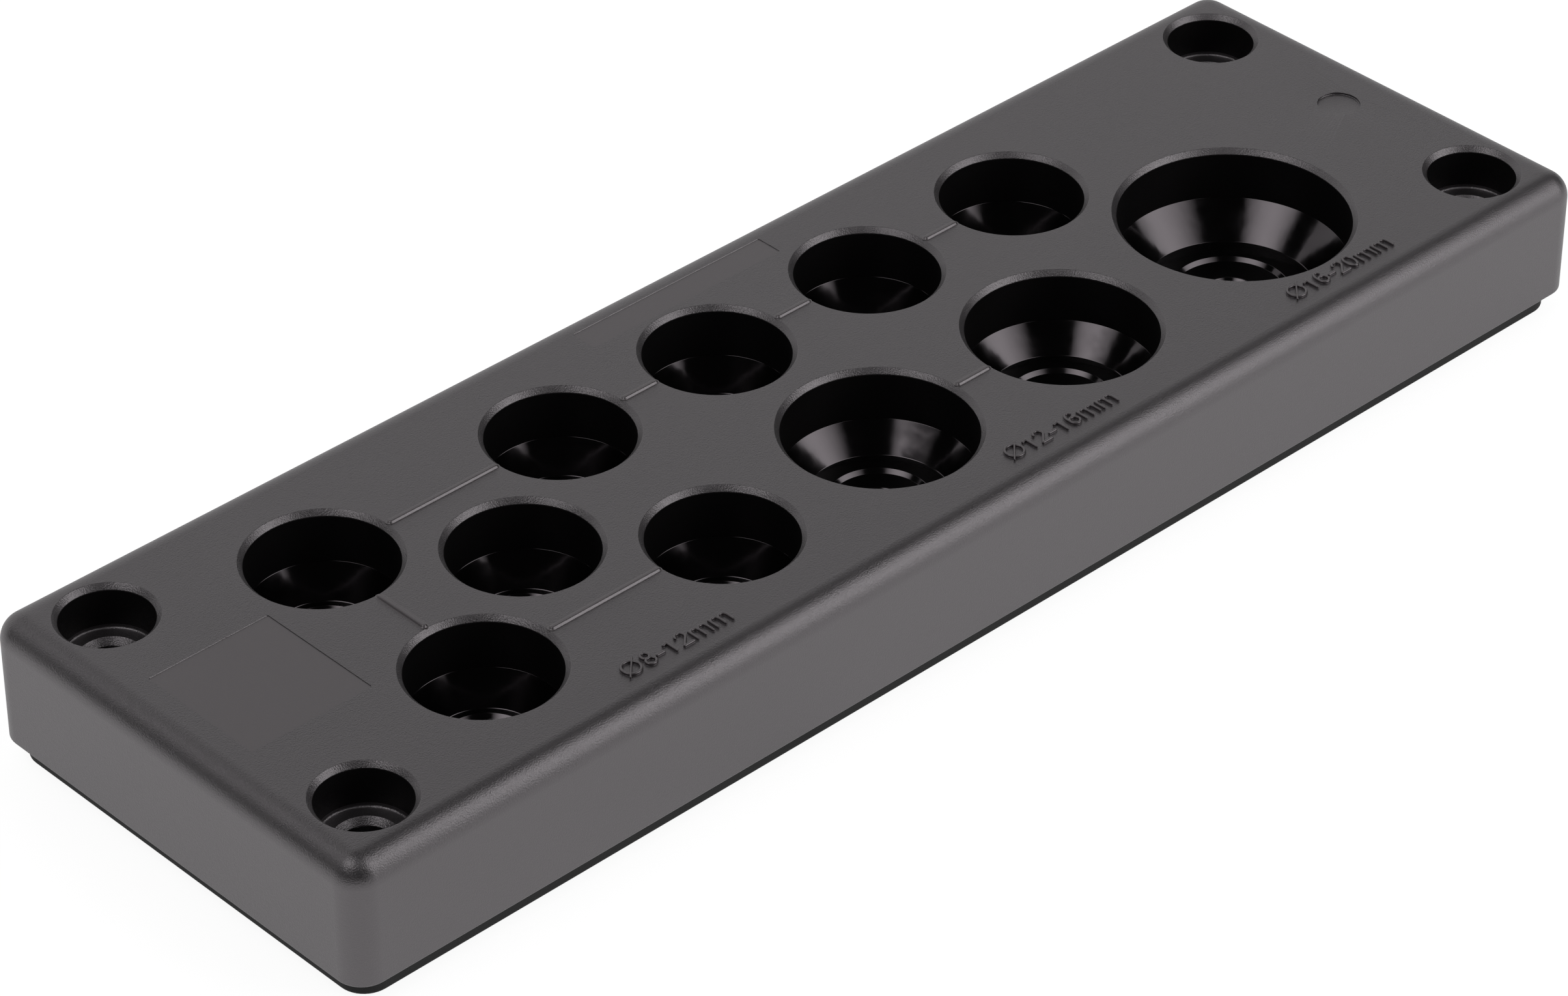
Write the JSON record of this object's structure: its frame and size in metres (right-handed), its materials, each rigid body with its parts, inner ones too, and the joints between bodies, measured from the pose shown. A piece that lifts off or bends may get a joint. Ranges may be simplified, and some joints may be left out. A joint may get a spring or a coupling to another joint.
{
  "type": "cable entry plate",
  "caption": "Rectangular screw-on plate with round bores and soft stepped membranes that seal cables through a panel cut-out.",
  "frame": {"origin": "centre of the gasket's lower face, on the panel", "axes": "+X along the plate, +Y towards the edge with the row of five small bores, +Z out of the panel"},
  "size_m": [0.144, 0.0458, 0.0142],
  "materials": {
    "cover_plastic": "charcoal grey polyamide, fine eroded grain",
    "membrane_rubber": "smooth glossy black elastomer",
    "gasket_rubber": "matt dark grey elastomer"
  },
  "bodies": {
    "root": {"cover_frame": "cover_plastic", "membrane_insert": "membrane_rubber", "flange_gasket": "gasket_rubber"}
  },
  "joints": []
}
